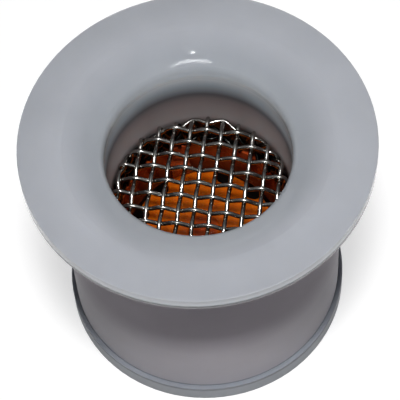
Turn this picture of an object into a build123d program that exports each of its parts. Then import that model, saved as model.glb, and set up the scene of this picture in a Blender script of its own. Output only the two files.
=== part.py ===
from build123d import *
import math
import os

# Flow regulator for a tap or hose union, in millimetres.
# A flanged bush holds a woven wire strainer and, under it, a regulating insert with an O-ring.
# +Z runs up the flow axis, against the flow, and the origin is the centre of the bottom face.

# Bush: bore, wall and flange add up to a flange 18.4 across, which drops into a half-inch union nut
total_height = 14.4
bore_dia = 9.72
body_wall = 2.54
flange_projection = 1.8
flange_thickness = 0.75
flange_edge_radius = 0.33
flange_root_radius = 0.4
mouth_width = 2.29
mouth_edge_slope = 15.0
mouth_throat_slope = 30.0
mouth_edge_radius = 1.5
throat_radius = 0.58
lip_height = 1.1
lip_projection = 0.25
lip_edge_radius = 0.2
ledge_height = 2.9
ledge_width = 1.0
outlet_chamfer = 0.4

# Regulator seat: a cup on the bush's ledge, with arc slots in its floor and lugs that keep the core down
seat_clearance = 0.06
seat_wall = 0.36
seat_depth = 3.6
seat_floor = 0.5
slot_count = 6
slot_width = 0.7
slot_bridge = 1.2
lug_count = 3
lug_width = 1.1
lug_height = 0.95
lug_overlap = 0.1
lug_clearance = 0.05
lug_chamfer = 0.35
first_lug_angle = 105.0

# O-ring: lies in the channel between the seat's wall and the core's stem
ring_section = 1.4
ring_side_clearance = 0.1
ring_end_clearance = 0.03

# Regulator core: a star-shaped hub over a fluted stem, and a peg in the seat's floor
hub_gap = 0.61
hub_thickness = 0.35
hub_edge_radius = 0.12
notch_pairs = 4
notch_spread = 15.0
notch_radius = 0.52
notch_inset = 0.1
first_tooth_angle = 53.0
flute_count = 12
flute_radius = 0.3
peg_dia = 2.4
peg_clearance = 0.03
boss_dia = 1.8
boss_height = 0.25

# Strainer: plain-woven wire with its edge turned down into a skirt, cut from the sheet off centre
strainer_clearance = 0.13
skirt_wall = 0.22
skirt_height = 2.5
crown_height = 0.22
wire_pitch = 0.85
wire_width = 0.24
wire_bite = 0.06
weave_angle = -11.0
weave_shift_x = -0.185
weave_shift_y = 0.378

# The largest share of a wall that one rounded edge may take
edge_share = 0.45

# Bush, worked out
bore_radius = bore_dia / 2
outlet_radius = bore_radius - ledge_width
body_radius = bore_radius + body_wall
flange_radius = body_radius + flange_projection
flange_base = total_height - flange_thickness
mouth_radius = bore_radius + mouth_width
edge_slope = math.radians(mouth_edge_slope)
throat_slope = math.radians(mouth_throat_slope)
bell_width = mouth_width - throat_radius * (1 - math.sin(throat_slope))
bell_radius = bell_width / (math.sin(throat_slope) - math.sin(edge_slope))
bell_depth = bell_radius * (math.cos(edge_slope) - math.cos(throat_slope))
mouth_base = total_height - bell_depth - throat_radius * math.cos(throat_slope)
lip_radius = body_radius + lip_projection

# Insert, worked out
seat_radius = bore_radius - seat_clearance
seat_inner_radius = seat_radius - seat_wall
floor_top = ledge_height + seat_floor
seat_top = floor_top + seat_depth
stem_radius = seat_inner_radius - ring_section - 2 * ring_side_clearance
ring_radius = stem_radius + ring_side_clearance + ring_section / 2
ring_centre = floor_top + ring_end_clearance + ring_section / 2
hub_radius = seat_inner_radius - hub_gap
hub_base = floor_top + ring_section + 2 * ring_end_clearance
hub_top = hub_base + hub_thickness
lug_base = hub_top + lug_clearance
lug_top = lug_base + lug_height
lug_radius = hub_radius - lug_overlap
peg_radius = peg_dia / 2

# Strainer, worked out
skirt_radius = bore_radius - strainer_clearance
skirt_top = seat_top + skirt_height
wire_end = skirt_radius - skirt_wall / 2
wire_swing = (wire_width - wire_bite) / 2


def crown(radius):
    """Height of the weave's middle surface at a distance from the axis."""
    return skirt_top - wire_width / 2 + crown_height * (1 - (radius / skirt_radius) ** 2)


def wire_places(shift):
    """Number and offset from the axis of each wire of one set that crosses the top."""
    limit = wire_end - wire_width
    first = math.ceil((-limit - shift) / wire_pitch)
    last = math.floor((limit - shift) / wire_pitch)
    return [(number, number * wire_pitch + shift) for number in range(first, last + 1)]


def wire_side(number, offset, crossings, over_at):
    """Side outline of one wire, which goes over the crossing wires where the numbers' sum is over_at."""
    half_length = math.sqrt(wire_end ** 2 - (abs(offset) + wire_width / 2) ** 2)
    middle = [(-half_length, crown(wire_end))]
    for crossing, along in crossings:
        if abs(along) < half_length - wire_width:
            over = (number + crossing) % 2 == over_at
            height = crown(math.hypot(along, offset)) + (wire_swing if over else -wire_swing)
            middle += [(along - wire_width / 2, height), (along + wire_width / 2, height)]
    middle += [(half_length, crown(wire_end))]
    upper = [(x, z + wire_width / 2) for x, z in middle]
    lower = [(x, z - wire_width / 2) for x, z in reversed(middle)]
    return upper + lower


# Bush: flange, bell-mouth, bore, ledge, outlet and lip as one turned section
with BuildPart() as body:
    with BuildSketch(Plane.XZ):
        with BuildLine():
            Polyline(
                (bore_radius, mouth_base),
                (bore_radius, ledge_height),
                (outlet_radius, ledge_height),
                (outlet_radius, 0),
                (lip_radius, 0),
                (lip_radius, lip_height),
                (body_radius, lip_height),
                (body_radius, flange_base),
                (flange_radius, flange_base),
                (flange_radius, total_height),
                (mouth_radius, total_height),
            )
            bell = JernArc(
                start=(mouth_radius, total_height),
                tangent=(-math.cos(edge_slope), -math.sin(edge_slope)),
                radius=bell_radius,
                arc_size=mouth_throat_slope - mouth_edge_slope,
            )
            JernArc(start=bell @ 1, tangent=bell % 1, radius=throat_radius,
                    arc_size=90 - mouth_throat_slope)
        corners = make_face().vertices()
        rim = corners.filter_by_position(Axis.X, flange_radius, flange_radius)
        root = corners.filter_by_position(Axis.X, body_radius, body_radius).sort_by(Axis.Y)[-1]
        lip = corners.filter_by_position(Axis.X, lip_radius, lip_radius)
        mouth_edge = corners.filter_by_position(Axis.X, mouth_radius, mouth_radius)
        outlet = corners.filter_by_position(Axis.X, outlet_radius, outlet_radius).sort_by(Axis.Y)[0]
        fillet(mouth_edge, mouth_edge_radius)
        fillet(rim, min(flange_edge_radius, edge_share * flange_thickness))
        fillet(root, min(flange_root_radius, edge_share * flange_projection))
        fillet(lip, min(lip_edge_radius, edge_share * lip_height, 2 * edge_share * lip_projection))
        chamfer(outlet, outlet_chamfer)
    revolve(axis=Axis.Z)
body.part.label = "body"

# Regulator seat: cup with arc slots and the peg's hole through its floor, and lugs inside its wall
with BuildPart() as regulator_seat:
    with BuildSketch(Plane.XY.offset(ledge_height)):
        Circle(seat_radius)
    extrude(amount=seat_top - ledge_height)
    with BuildSketch(Plane.XY.offset(floor_top)):
        Circle(seat_inner_radius)
    extrude(amount=seat_depth, mode=Mode.SUBTRACT)
    with BuildSketch(Plane.XY.offset(ledge_height)):
        Circle(stem_radius + slot_width / 2)
        Circle(stem_radius - slot_width / 2, mode=Mode.SUBTRACT)
        with PolarLocations(stem_radius, slot_count, start_angle=first_tooth_angle):
            Rectangle(2 * slot_width, slot_bridge, mode=Mode.SUBTRACT)
        Circle(peg_radius + peg_clearance)
    extrude(amount=seat_floor, mode=Mode.SUBTRACT)
    with BuildSketch(Plane.XY.offset(lug_base)):
        with PolarLocations(0, lug_count, start_angle=first_lug_angle):
            Rectangle(seat_radius, lug_width, align=(Align.MIN, Align.CENTER))
        Circle(seat_inner_radius + seat_wall / 2, mode=Mode.INTERSECT)
        Circle(lug_radius, mode=Mode.SUBTRACT)
    extrude(amount=lug_height)
    lug_faces = regulator_seat.faces().filter_by_position(Axis.Z, lug_top, lug_top)
    lug_arcs = lug_faces.edges().filter_by(GeomType.CIRCLE).sort_by(SortBy.RADIUS)
    chamfer(lug_arcs[:lug_count], lug_chamfer)
regulator_seat.part.label = "regulator_seat"

# O-ring
with BuildPart() as o_ring:
    with Locations((0, 0, ring_centre)):
        Torus(ring_radius, ring_section / 2)
o_ring.part.label = "o_ring"

# Regulator core: peg, fluted stem, star-shaped hub with pairs of notches, and a small boss on top
with BuildPart() as regulator_core:
    with BuildSketch(Plane.XY.offset(ledge_height)):
        Circle(peg_radius)
    extrude(amount=seat_floor)
    with BuildSketch(Plane.XY.offset(floor_top)):
        Circle(stem_radius)
        with PolarLocations(stem_radius, flute_count, start_angle=first_tooth_angle):
            Circle(flute_radius, mode=Mode.SUBTRACT)
    extrude(amount=hub_base - floor_top)
    with BuildSketch(Plane.XY.offset(hub_base)):
        Circle(hub_radius)
        for side in (-notch_spread, notch_spread):
            with PolarLocations(hub_radius - notch_inset, notch_pairs, start_angle=first_tooth_angle + side):
                Circle(notch_radius, mode=Mode.SUBTRACT)
    extrude(amount=hub_thickness)
    upper_face = regulator_core.faces().sort_by(Axis.Z)[-1]
    fillet(upper_face.edges(), min(hub_edge_radius, edge_share * hub_thickness))
    with BuildSketch(Plane.XY.offset(hub_top)):
        Circle(boss_dia / 2)
    extrude(amount=boss_height)
    boss_face = regulator_core.faces().sort_by(Axis.Z)[-1]
    fillet(boss_face.edges(), min(hub_edge_radius, 2 * edge_share * boss_height))
regulator_core.part.label = "regulator_core"

# Strainer: two sets of wires woven over and under each other, joined to a plain skirt
rows = wire_places(weave_shift_y)
columns = wire_places(weave_shift_x)
with BuildPart() as strainer:
    with BuildSketch(Plane.XY.offset(seat_top)):
        Circle(skirt_radius)
        Circle(skirt_radius - skirt_wall, mode=Mode.SUBTRACT)
    extrude(amount=skirt_height)
    for number, offset_y in rows:
        with BuildSketch(Plane.XZ.rotated((0, 0, weave_angle)).offset(-offset_y)):
            with BuildLine():
                Polyline(*wire_side(number, offset_y, columns, 0), close=True)
            make_face()
    for number, offset_x in columns:
        with BuildSketch(Plane.YZ.rotated((0, 0, weave_angle)).offset(offset_x)):
            with BuildLine():
                Polyline(*wire_side(number, offset_x, rows, 1), close=True)
            make_face()
    extrude(amount=wire_width / 2, both=True)
strainer.part.label = "strainer"

os.makedirs("parts", exist_ok=True)
for piece in (body, strainer, regulator_seat, regulator_core, o_ring):
    export_step(piece.part, f"parts/{piece.part.label}.step")
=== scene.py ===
import math
import random

import bpy
import numpy as np
from mathutils import Matrix, Vector


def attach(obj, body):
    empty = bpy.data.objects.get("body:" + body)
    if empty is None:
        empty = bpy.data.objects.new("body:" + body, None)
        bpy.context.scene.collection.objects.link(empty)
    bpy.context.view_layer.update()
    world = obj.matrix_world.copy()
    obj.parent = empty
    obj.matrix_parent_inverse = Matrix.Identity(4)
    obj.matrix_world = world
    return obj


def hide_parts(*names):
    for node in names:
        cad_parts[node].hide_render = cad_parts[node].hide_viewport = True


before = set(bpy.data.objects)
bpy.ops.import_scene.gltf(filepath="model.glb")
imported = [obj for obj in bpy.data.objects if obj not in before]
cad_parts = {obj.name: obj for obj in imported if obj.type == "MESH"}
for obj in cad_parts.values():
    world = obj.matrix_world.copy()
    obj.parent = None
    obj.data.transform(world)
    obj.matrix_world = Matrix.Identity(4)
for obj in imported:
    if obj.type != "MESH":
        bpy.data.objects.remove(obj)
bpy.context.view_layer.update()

# Flow regulator: a flanged bush of milky plastic, a cap of woven wire in its bore, and an orange insert
# with a black O-ring below. Lengths are in millimetres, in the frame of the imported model.
MM = 0.001
PART_HEIGHT = 14.4

# Woven cap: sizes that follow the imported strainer
WIRE_PITCH = 0.85
WIRE_DIA = 0.24
WEAVE_ANGLE = math.radians(-11.0)
WEAVE_SHIFT_X = -0.185
WEAVE_SHIFT_Y = 0.378
CAP_MIDDLE = 9.6
CAP_FOOT = 7.02
CAP_RADIUS = 4.58
CAP_DROP = 0.25
CAP_EDGE_RADIUS = 0.26

# How finely the cap is drawn, and how far a wire wanders from its place
WIRE_SIDES = 10
STEPS_PER_PITCH = 10
CROWN_SPOTS = 60
EDGE_SPOTS = 24
WIRE_WANDER = 0.02
WANDER_SEED = 7

# Bands in which the look of the bush changes, by distance from its axis
FLANK_BAND = (2.5, 4.6)
THROAT_BAND = (5.2, 6.9)
FUNNEL_BAND = (5.5, 8.2)
MOUTH_TO_WALL = (6.9, 7.1)
FLANGE_EDGE = (7.6, 9.0)
RIM_EDGE = (8.7, 9.0)

# Bands in which it changes by height, and from the near side to the far side
SKIRT_BAND = (7.0, 8.6)
BORE_TOP = (12.0, 12.6)
GLOSS_START = (12.6, 13.1)
WALL_TOP = (13.4, 13.7)
RIM_MIDDLE = (13.8, 13.95)
NEAR_TO_FAR = (-5.0, 5.0)

# The same for the wires, by height, and for the insert, by distance from its axis
WIRE_SHADE = (8.7, 9.3)
HUB_MIDDLE_BAND = (0.5, 1.6)

# Tones of the milky plastic by height. Inside: outlet, painted shade behind the strainer's skirt, bore,
# throat
# The bore has a painted dark band below a painted glow round the throat
MOUTH_TONES_AND_PAINTED_LIGHT = [
    (0.0, "#C4C8D0"), (3.4, "#BCC0C8"), (6.6, "#2A2A2C"), (8.6, "#323232"),
    (9.2, "#A09A9B"), (10.4, "#8E8788"), (11.0, "#7A7476"), (11.4, "#565A60"),
    (12.2, "#A9B6C0"), (12.95, "#E4ECF2"), (13.35, "#A8ADB3"), (13.9, "#A9ADB4"), (14.3, "#B4B7BE"),
]
# Outside: foot's lip, wall, underside of the flange, rim, with painted light and shade
# Painted shade on the lip's top and at the flange's lower edge, painted light lower on the wall, a painted
# glow on the rim
WALL_TONES_AND_PAINTED_LIGHT = [
    (0.0, "#C4C8D0"), (0.82, "#C6CAD2"), (0.98, "#9A9EA6"), (1.16, "#8E929A"),
    (1.2, "#CDC9D2"), (4.8, "#D4CED7"), (7.0, "#C4BBC7"), (13.67, "#C4BBC7"),
    (13.74, "#62666C"), (13.86, "#74787E"), (13.96, "#D6DBE2"), (14.35, "#B4B7BE"),
]

# Width of the cloudy patches in each finish, and the range in which nearly all of such a pattern lies
FLOW_MARK = 4.0
DYE_STREAK = 1.5
RUBBER_BLOOM = 0.8
WIRE_STAIN = 0.7
CLOUD_RANGE = (0.3, 0.7)

# Grain of the moulded skins; the real grain is too fine to show, so it is drawn this coarse
ACETAL_GRAIN = 0.12
DYED_GRAIN = 0.1
RUBBER_GRAIN = 0.08
GRAIN_DEPTH = 0.02


def hex_colour(text):
    """Linear colour with full alpha from an sRGB hex value such as #A0B0C0."""
    parts = [int(text[i:i + 2], 16) / 255 for i in (1, 3, 5)]
    linear = [c / 12.92 if c <= 0.04045 else ((c + 0.055) / 1.055) ** 2.4 for c in parts]
    return (*linear, 1.0)


def add_node(tree, kind, inputs=(), **settings):
    """Adds a node with its settings.

    Inputs are values for its sockets or the outputs that feed them, by name or number, or in order from
    the first. A Map Range takes the value, the two ends of its range and the two ends that they become.
    A Mix takes the share as 0, and as 6 and 7 two colours, or as 4 and 5 two directions.
    """
    node = tree.nodes.new(kind)
    for name, value in settings.items():
        setattr(node, name, value)
    given = inputs if isinstance(inputs, dict) else dict(enumerate(inputs))
    for name, value in given.items():
        if isinstance(value, bpy.types.NodeSocket):
            tree.links.new(value, node.inputs[name])
        else:
            node.inputs[name].default_value = value
    return node


def new_material(name):
    """An empty material with its node tree and its output."""
    material = bpy.data.materials.new(name)
    material.use_nodes = True
    tree = material.node_tree
    tree.nodes.clear()
    return material, tree, add_node(tree, "ShaderNodeOutputMaterial")


def place_in_mm(tree):
    """The place on the part, in millimetres."""
    place = add_node(tree, "ShaderNodeTexCoord").outputs["Object"]
    return add_node(tree, "ShaderNodeVectorMath", {0: place, "Scale": 1 / MM}, operation="SCALE").outputs[0]


def distance_from_axis(tree, mm):
    """How far a place is from the flow axis."""
    level = add_node(tree, "ShaderNodeVectorMath", [mm, (1.0, 1.0, 0.0)], operation="MULTIPLY").outputs[0]
    return add_node(tree, "ShaderNodeVectorMath", [level], operation="LENGTH").outputs["Value"]


def moulded_grain(tree, mm, width, strength):
    """The slight unevenness that the mould's wall leaves on a skin."""
    grain = add_node(tree, "ShaderNodeTexNoise", {
        "Vector": mm, "Scale": 1 / width, "Detail": 2.0,
    }).outputs[0]
    return add_node(tree, "ShaderNodeBump", {
        "Height": grain, "Strength": strength, "Distance": GRAIN_DEPTH * MM,
    }).outputs[0]


def colours_by_height(tree, height, stops):
    """A colour that changes with height through the stops given, each a height and an sRGB colour."""
    share = add_node(tree, "ShaderNodeMapRange", [height, 0.0, PART_HEIGHT]).outputs[0]
    ramp = add_node(tree, "ShaderNodeValToRGB", [share])
    marks = ramp.color_ramp.elements
    marks.remove(marks[1])
    for number, (z, text) in enumerate(stops):
        mark = marks.new(z / PART_HEIGHT) if number else marks[0]
        mark.color = hex_colour(text)
    return ramp.outputs[0]


def moulded_acetal():
    """Natural acetal, injection moulded: milky, with a smooth skin.

    The glow of rim and throat and the dim edge under the flange are painted light and shade in its colour.
    """
    material, tree, output = new_material("moulded_natural_acetal")
    mm = place_in_mm(tree)
    radius = distance_from_axis(tree, mm)
    place_x, place_y, height = add_node(tree, "ShaderNodeSeparateXYZ", [mm]).outputs

    # Mouth and bore: a painted glow round the throat, painted shade below it, painted light at the bore's
    # two sides, and the throat painted lighter on the far side than the near side
    inside = colours_by_height(tree, height, MOUTH_TONES_AND_PAINTED_LIGHT)
    across = add_node(tree, "ShaderNodeMath", [place_x], operation="ABSOLUTE").outputs[0]
    painted_flank_light = add_node(tree, "ShaderNodeMapRange", [across, *FLANK_BAND, 0.0, 0.6]).outputs[0]
    bore = add_node(tree, "ShaderNodeMapRange", [height, *BORE_TOP, 1.0, 0.0]).outputs[0]
    above_skirt = add_node(tree, "ShaderNodeMapRange", [height, *SKIRT_BAND]).outputs[0]
    bore = add_node(tree, "ShaderNodeMath", [bore, above_skirt], operation="MULTIPLY").outputs[0]
    far = add_node(tree, "ShaderNodeMapRange", [place_y, *NEAR_TO_FAR, -0.14, 0.05]).outputs[0]
    throat = add_node(tree, "ShaderNodeMapRange", [radius, *THROAT_BAND, 1.0, 0.0]).outputs[0]
    far = add_node(tree, "ShaderNodeMath", [far, throat, 1.0], operation="MULTIPLY_ADD").outputs[0]
    painted_light_lift = add_node(tree, "ShaderNodeMath", [painted_flank_light, bore, far], operation="MULTIPLY_ADD").outputs[0]
    inside = add_node(tree, "ShaderNodeVectorMath", {0: inside, "Scale": painted_light_lift}, operation="SCALE")

    # Rim and outer wall: a painted glow on the rim, painted shade on the lip's top and at the flange's
    # lower edge, painted light towards the foot
    outside = colours_by_height(tree, height, WALL_TONES_AND_PAINTED_LIGHT)
    side = add_node(tree, "ShaderNodeMapRange", [radius, *MOUTH_TO_WALL]).outputs[0]
    tones = {0: side, 6: inside.outputs[0], 7: outside}
    tone = add_node(tree, "ShaderNodeMix", tones, data_type="RGBA").outputs[2]

    # Painted light on the flange: lighter at the near right than at the far left, with painted shade at its
    # edge
    near = add_node(tree, "ShaderNodeVectorMath", [mm, (0.004, -0.0065, 0.0)], operation="DOT_PRODUCT")
    spread = add_node(tree, "ShaderNodeMapRange", [radius, *FUNNEL_BAND]).outputs[0]
    thin = add_node(tree, "ShaderNodeMapRange", [radius, *FLANGE_EDGE, 1.0, 0.94]).outputs[0]
    painted_light_fade = add_node(tree, "ShaderNodeMath", [near.outputs["Value"], spread, thin], operation="MULTIPLY_ADD")
    tone = add_node(tree, "ShaderNodeVectorMath", {0: tone, "Scale": painted_light_fade.outputs[0]}, operation="SCALE")

    # Cloudy flow marks
    cloud = add_node(tree, "ShaderNodeTexNoise", {
        "Vector": mm, "Scale": 1 / FLOW_MARK, "Detail": 3.0,
    }).outputs[0]
    marks = add_node(tree, "ShaderNodeMapRange", [cloud, *CLOUD_RANGE, 0.96, 1.04]).outputs[0]
    colour = add_node(tree, "ShaderNodeVectorMath", {0: tone.outputs[0], "Scale": marks}, operation="SCALE")

    # Skin: polished in the mouth, satin in the bore and below
    gloss = add_node(tree, "ShaderNodeMapRange", [cloud, *CLOUD_RANGE, 0.045, 0.06]).outputs[0]
    satin = add_node(tree, "ShaderNodeMapRange", [height, *GLOSS_START, 0.45, 0.0]).outputs[0]
    gloss = add_node(tree, "ShaderNodeMath", [gloss, satin], operation="MAXIMUM").outputs[0]
    grain = moulded_grain(tree, mm, ACETAL_GRAIN, 0.03)

    # The mould leaves the outer wall duller than the mouth
    below = add_node(tree, "ShaderNodeMapRange", [height, *WALL_TOP, 1.0, 0.0]).outputs[0]
    wall = add_node(tree, "ShaderNodeMath", [side, below], operation="MULTIPLY").outputs[0]
    shine = add_node(tree, "ShaderNodeMapRange", [wall, 0.0, 1.0, 1.0, 0.3]).outputs[0]

    # At the thin rim, light that came in from above leaves sideways, so the rim is shaded as the top is
    rim = add_node(tree, "ShaderNodeMapRange", [radius, *RIM_EDGE, 0.0, 0.85]).outputs[0]
    upper = add_node(tree, "ShaderNodeMapRange", [height, *RIM_MIDDLE]).outputs[0]
    lean = add_node(tree, "ShaderNodeMath", [rim, upper], operation="MULTIPLY").outputs[0]
    soft = add_node(tree, "ShaderNodeMix", {0: lean, 4: grain, 5: (0.0, 0.0, 1.0)}, data_type="VECTOR")
    soft = add_node(tree, "ShaderNodeVectorMath", [soft.outputs[1]], operation="NORMALIZE").outputs[0]
    skin = add_node(tree, "ShaderNodeBsdfPrincipled", {
        "Base Color": colour.outputs[0], "Roughness": 0.5, "Specular IOR Level": 0.0, "Normal": soft,
        "Subsurface Weight": 1.0, "Subsurface Radius": (1.0, 0.95, 0.9), "Subsurface Scale": 0.35 * MM,
        "Coat Weight": shine, "Coat IOR": 1.48, "Coat Roughness": gloss, "Coat Normal": grain,
    })
    tree.links.new(skin.outputs[0], output.inputs["Surface"])
    return material


def moulded_orange(name, dark, light):
    """Dyed acetal, injection moulded: a clean saturated colour under a smooth, rather glossy skin."""
    material, tree, output = new_material(name)
    mm = place_in_mm(tree)
    cloud = add_node(tree, "ShaderNodeTexNoise", {
        "Vector": mm, "Scale": 1 / DYE_STREAK, "Detail": 3.0,
    }).outputs[0]
    dye = {0: cloud, 6: hex_colour(dark), 7: hex_colour(light)}
    colour = add_node(tree, "ShaderNodeMix", dye, data_type="RGBA").outputs[2]
    # In the middle of the hub the colour is darker and redder
    radius = distance_from_axis(tree, mm)
    spread = add_node(tree, "ShaderNodeMapRange", [radius, *HUB_MIDDLE_BAND]).outputs[0]
    dye = {0: spread, 6: hex_colour("#A23C0C"), 7: colour}
    colour = add_node(tree, "ShaderNodeMix", dye, data_type="RGBA").outputs[2]
    gloss = add_node(tree, "ShaderNodeMapRange", [cloud, *CLOUD_RANGE, 0.2, 0.32]).outputs[0]
    grain = moulded_grain(tree, mm, DYED_GRAIN, 0.05)
    skin = add_node(tree, "ShaderNodeBsdfPrincipled", {
        "Base Color": colour, "Roughness": gloss, "IOR": 1.48, "Normal": grain,
        "Subsurface Weight": 0.3, "Subsurface Radius": (1.0, 0.4, 0.1), "Subsurface Scale": 0.3 * MM,
    })
    tree.links.new(skin.outputs[0], output.inputs["Surface"])
    return material


def moulded_rubber():
    """Black nitrile rubber, moulded: a deep matt black with a faint bloom."""
    material, tree, output = new_material("moulded_black_nitrile")
    mm = place_in_mm(tree)
    bloom = add_node(tree, "ShaderNodeTexNoise", {
        "Vector": mm, "Scale": 1 / RUBBER_BLOOM, "Detail": 4.0,
    }).outputs[0]
    soot = {0: bloom, 6: hex_colour("#030303"), 7: hex_colour("#080707")}
    colour = add_node(tree, "ShaderNodeMix", soot, data_type="RGBA").outputs[2]
    gloss = add_node(tree, "ShaderNodeMapRange", [bloom, *CLOUD_RANGE, 0.45, 0.65]).outputs[0]
    grain = moulded_grain(tree, mm, RUBBER_GRAIN, 0.1)
    skin = add_node(tree, "ShaderNodeBsdfPrincipled", {
        "Base Color": colour, "Roughness": gloss, "IOR": 1.52, "Specular IOR Level": 0.2, "Normal": grain,
    })
    tree.links.new(skin.outputs[0], output.inputs["Surface"])
    return material


def drawn_wire():
    """Stainless steel wire, drawn bright and woven: sharp streaks of light along each wire."""
    material, tree, output = new_material("drawn_stainless_wire")
    mm = place_in_mm(tree)
    stain = add_node(tree, "ShaderNodeTexNoise", {
        "Vector": mm, "Scale": 1 / WIRE_STAIN, "Detail": 4.0,
    }).outputs[0]
    steel = {0: stain, 6: hex_colour("#9C9A96"), 7: hex_colour("#BAB8B4")}
    colour = add_node(tree, "ShaderNodeMix", steel, data_type="RGBA").outputs[2]
    # The skirt is turned down into the bore's shade, and is drawn darker there
    height = add_node(tree, "ShaderNodeSeparateXYZ", [mm]).outputs["Z"]
    shade = add_node(tree, "ShaderNodeMapRange", [height, *WIRE_SHADE, 0.1, 1.0]).outputs[0]
    colour = add_node(tree, "ShaderNodeVectorMath", {0: colour, "Scale": shade}, operation="SCALE")
    # Light that the bore picks up from the wires is spread, so no hard bright lines lie on the plastic
    gloss = add_node(tree, "ShaderNodeMapRange", [stain, *CLOUD_RANGE, 0.16, 0.26]).outputs[0]
    picked_up = add_node(tree, "ShaderNodeLightPath").outputs["Is Diffuse Ray"]
    gloss = add_node(tree, "ShaderNodeMath", [gloss, picked_up], operation="MAXIMUM").outputs[0]
    skin = add_node(tree, "ShaderNodeBsdfPrincipled", {
        "Base Color": colour.outputs[0], "Roughness": gloss, "Metallic": 1.0,
    })
    tree.links.new(skin.outputs[0], output.inputs["Surface"])
    return material


def pale_floor():
    """Matt white card under and behind the part; it gives back less light than it shows."""
    material, tree, output = new_material("matt_white_card")
    path = add_node(tree, "ShaderNodeLightPath").outputs
    seen = path["Is Camera Ray"]
    for ray in ("Is Glossy Ray", "Is Transmission Ray"):
        seen = add_node(tree, "ShaderNodeMath", [seen, path[ray]], operation="MAXIMUM").outputs[0]
    dull = add_node(tree, "ShaderNodeBsdfDiffuse", {"Color": hex_colour("#949494")}).outputs[0]
    white = add_node(tree, "ShaderNodeBsdfDiffuse", {"Color": hex_colour("#B4B4B4")}).outputs[0]
    glow = add_node(tree, "ShaderNodeEmission", {"Color": hex_colour("#FFFFFF"), "Strength": 0.62})
    shown = add_node(tree, "ShaderNodeAddShader", [white, glow.outputs[0]]).outputs[0]
    card = add_node(tree, "ShaderNodeMixShader", [seen, dull, shown]).outputs[0]
    tree.links.new(card, output.inputs["Surface"])
    return material


def mesh_object(name, points, faces, material):
    """A smooth-shaded mesh object from points in millimetres."""
    mesh = bpy.data.meshes.new(name)
    mesh.from_pydata([tuple(c * MM for c in p) for p in points], [], faces)
    mesh.polygons.foreach_set("use_smooth", [True] * len(mesh.polygons))
    mesh.materials.append(material)
    mesh.update()
    piece = bpy.data.objects.new(name, mesh)
    bpy.context.scene.collection.objects.link(piece)
    return piece


def cap_profile():
    """Distance from the middle along the sheet, with radius, height and slope there: crown, edge, skirt."""
    fall = CAP_DROP / CAP_RADIUS ** 2
    # The radius at which the crown runs smoothly into the rounded edge, settled in a few rounds
    start = CAP_RADIUS - CAP_EDGE_RADIUS
    for _ in range(20):
        start = CAP_RADIUS - CAP_EDGE_RADIUS * (1 - math.sin(math.atan(2 * fall * start)))
    lean = math.atan(2 * fall * start)
    radii = np.linspace(0, start, CROWN_SPOTS)
    spots = [(r, CAP_MIDDLE - fall * r * r, math.atan(2 * fall * r)) for r in radii]
    centre_r = start - CAP_EDGE_RADIUS * math.sin(lean)
    centre_z = spots[-1][1] - CAP_EDGE_RADIUS * math.cos(lean)
    for turn in np.linspace(lean, math.pi / 2, EDGE_SPOTS)[1:]:
        r = centre_r + CAP_EDGE_RADIUS * math.sin(turn)
        z = centre_z + CAP_EDGE_RADIUS * math.cos(turn)
        spots.append((r, z, turn))
    spots.append((CAP_RADIUS, CAP_FOOT, math.pi / 2))
    spots = np.array(spots)
    run = np.concatenate([[0], np.cumsum(np.hypot(np.diff(spots[:, 0]), np.diff(spots[:, 1])))])
    return run, spots[:, 0], spots[:, 1], spots[:, 2]


def add_wire(points, faces, centres, ups):
    """Adds one round wire with closed ends along its centres; ups point out of the sheet there."""
    base, last = len(points), len(centres) - 1
    for k, (place, up) in enumerate(zip(centres, ups)):
        ahead = (centres[min(k + 1, last)] - centres[max(k - 1, 0)]).normalized()
        side = ahead.cross(up).normalized()
        top = side.cross(ahead)
        for n in range(WIRE_SIDES):
            angle = 2 * math.pi * n / WIRE_SIDES
            points.append(place + (side * math.cos(angle) + top * math.sin(angle)) * (WIRE_DIA / 2))
    for k in range(last):
        ring = base + k * WIRE_SIDES
        for n in range(WIRE_SIDES):
            a, b = ring + n, ring + (n + 1) % WIRE_SIDES
            faces.append((a, b, b + WIRE_SIDES, a + WIRE_SIDES))
    faces.append(tuple(base + n for n in reversed(range(WIRE_SIDES))))
    faces.append(tuple(base + last * WIRE_SIDES + n for n in range(WIRE_SIDES)))


def woven_cap(material):
    """The strainer: round wires in plain weave, pressed over a crown and turned down into a skirt."""
    run, radius_at, height_at, lean_at = cap_profile()
    reach = run[-1]
    wander = random.Random(WANDER_SEED)
    points, faces = [], []
    turn = Matrix.Rotation(WEAVE_ANGLE, 2)

    def spot(u, v, swing):
        """Point on the pressed sheet, raised by swing, with the sheet's outward direction there."""
        flat = turn @ Vector((u, v))
        away = flat.length
        bearing = flat / away if away > 1e-9 else Vector((1, 0))
        r, z, lean = (np.interp(away, run, values) for values in (radius_at, height_at, lean_at))
        outward = Vector((bearing.x * math.sin(lean), bearing.y * math.sin(lean), math.cos(lean)))
        return Vector((bearing.x * r, bearing.y * r, z)) + outward * swing, outward

    for across in (False, True):
        own_shift, other_shift = WEAVE_SHIFT_Y, WEAVE_SHIFT_X
        if across:
            own_shift, other_shift = other_shift, own_shift
        first = math.ceil((-reach - own_shift) / WIRE_PITCH)
        last = math.floor((reach - own_shift) / WIRE_PITCH)
        for number in range(first, last + 1):
            offset = number * WIRE_PITCH + own_shift + wander.uniform(-WIRE_WANDER, WIRE_WANDER)
            half = math.sqrt(max(reach ** 2 - offset ** 2, 0))
            if half < WIRE_PITCH:
                continue
            count = max(int(2 * half / WIRE_PITCH * STEPS_PER_PITCH), 4)
            centres, ups = [], []
            for k in range(count + 1):
                along = -half + 2 * half * k / count
                phase = math.pi * ((along - other_shift) / WIRE_PITCH + number)
                swing = WIRE_DIA / 2 * math.cos(phase) * (-1 if across else 1)
                place, outward = spot(offset, along, swing) if across else spot(along, offset, swing)
                centres.append(place)
                ups.append(outward)
            add_wire(points, faces, centres, ups)
    return mesh_object("strainer_weave", points, faces, material)


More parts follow.
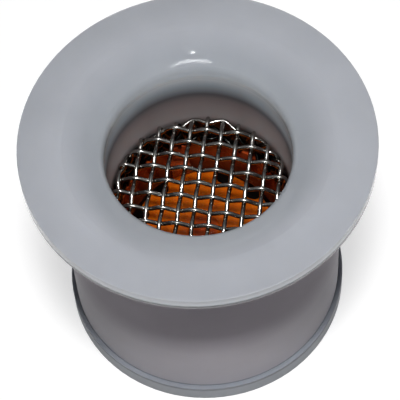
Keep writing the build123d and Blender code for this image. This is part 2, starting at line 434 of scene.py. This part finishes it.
def studio_bowl(material):
    """Floor that curves up into a low backdrop all round, far from the part."""
    inner_ring, floor_radius, bend_radius = 150, 400, 300
    bend_angle, bend_steps, spokes = 80, 12, 96
    outline = [(inner_ring, 0), (floor_radius, 0)]
    for step in range(1, bend_steps + 1):
        angle = math.radians(bend_angle * step / bend_steps)
        outline.append((floor_radius + bend_radius * math.sin(angle), bend_radius * (1 - math.cos(angle))))
    points = [(0, 0, 0)]
    for r, z in outline:
        for n in range(spokes):
            angle = 2 * math.pi * n / spokes
            points.append((r * math.cos(angle), r * math.sin(angle), z))
    faces = [(0, 1 + n, 1 + (n + 1) % spokes) for n in range(spokes)]
    for ring in range(len(outline) - 1):
        for n in range(spokes):
            a, b = 1 + ring * spokes + n, 1 + ring * spokes + (n + 1) % spokes
            faces.append((a, a + spokes, b + spokes, b))
    bowl = mesh_object("studio_bowl", points, faces, material)


def soft_lamp(name, azimuth, elevation, distance, width, depth, watts, mirrored=True):
    """An oval lamp aimed at the part's mouth; azimuth 0 is the photograph's side."""
    mouth = Vector((0, 0, 13.5)) * MM
    data = bpy.data.lights.new(name, "AREA")
    data.shape = "ELLIPSE"
    data.size, data.size_y = width * MM, depth * MM
    data.energy = watts
    lamp = bpy.data.objects.new(name, data)
    lamp.visible_glossy = mirrored
    lamp.visible_camera = False
    a, e = math.radians(azimuth), math.radians(elevation)
    back = Vector((math.sin(a) * math.cos(e), -math.cos(a) * math.cos(e), math.sin(e)))
    right = Vector((math.cos(a), math.sin(a), 0))
    up = back.cross(right)
    place = Matrix((right, up, back)).transposed().to_4x4()
    place.translation = mouth + back * distance * MM
    lamp.matrix_world = place
    bpy.context.scene.collection.objects.link(lamp)
    return lamp


def photo_camera():
    """The photograph's view: a long lens from the front, 59 degrees up, held a little off level."""
    tilt, roll = math.radians(59.41), math.radians(-4.49)
    eye = Vector((-0.086, -54.28, 100.32)) * MM
    back = Vector((0, -math.cos(tilt), math.sin(tilt)))
    right = Vector((1, 0, 0))
    up = back.cross(right)
    level_right = right * math.cos(roll) + up * math.sin(roll)
    level_up = up * math.cos(roll) - right * math.sin(roll)
    place = Matrix((level_right, level_up, back)).transposed().to_4x4()
    place.translation = eye
    data = bpy.data.cameras.new("camera")
    data.lens = 180
    data.sensor_width = 36
    data.clip_start = 0.01
    camera = bpy.data.objects.new("camera", data)
    camera.matrix_world = place
    bpy.context.scene.collection.objects.link(camera)
    bpy.context.scene.camera = camera


def studio_world():
    """A faint even light; what shines also mirrors a pale ceiling."""
    faint, ceiling = 0.06, 0.3
    ceiling_edge = (0.55, 0.95)
    world = bpy.data.worlds.new("studio")
    world.use_nodes = True
    tree = world.node_tree
    mirrored = add_node(tree, "ShaderNodeLightPath").outputs["Is Glossy Ray"]
    aim = add_node(tree, "ShaderNodeTexCoord").outputs["Generated"]
    rise = add_node(tree, "ShaderNodeSeparateXYZ", [aim]).outputs["Z"]
    overhead = add_node(tree, "ShaderNodeMapRange", [rise, *ceiling_edge, faint, ceiling]).outputs[0]
    strength = add_node(tree, "ShaderNodeMapRange", [mirrored, 0.0, 1.0, faint, overhead]).outputs[0]
    background = tree.nodes["Background"].inputs
    tree.links.new(strength, background["Strength"])
    background["Color"].default_value = hex_colour("#FFFFFF")
    bpy.context.scene.world = world


# Studio: a high main lamp, a glint and an arc of light in the mouth, and low lamps behind at both sides
photo_camera()
studio_bowl(pale_floor())
soft_lamp("main", azimuth=0, elevation=75, distance=220, width=44, depth=19, watts=0.43, mirrored=False)
soft_lamp("glint", azimuth=-2, elevation=76.8, distance=220, width=1.8, depth=1.4, watts=0.012)
for lamp_name, lamp_azimuth, lamp_watts in (("fill_left", 210, 0.2), ("fill_right", 150, 0.27)):
    soft_lamp(lamp_name, lamp_azimuth, elevation=-1.5, distance=260, width=120, depth=12,
              watts=lamp_watts, mirrored=False)
soft_lamp("strip", azimuth=-2, elevation=71.2, distance=300, width=110, depth=5, watts=0.017)
studio_world()
bpy.context.scene.view_settings.view_transform = "Standard"

# Pieces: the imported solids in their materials, and the woven cap in place of the plain strainer
looks = {
    "body": moulded_acetal(),
    # The seat's cup lies deep in the bore: its copy of the orange is drawn darker and redder, as painted
    # shade
    "regulator_seat": moulded_orange("moulded_orange_acetal_in_painted_shade", "#8C3616", "#A4421A"),
    "regulator_core": moulded_orange("moulded_orange_acetal", "#C6560A", "#DC700E"),
    "o_ring": moulded_rubber(),
}
for node, material in looks.items():
    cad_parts[node].material_slots[0].material = material

weave = woven_cap(drawn_wire())
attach(weave, "root")
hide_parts("strainer")

# A lamp for the wires alone brings out their sparkle and leaves the plastic calm
wires_only = bpy.data.collections.new("lit_by_sparkle")
wires_only.objects.link(weave)
sparkle = soft_lamp("sparkle", azimuth=-2, elevation=76, distance=220, width=20, depth=30, watts=0.42)
sparkle.light_linking.receiver_collection = wires_only
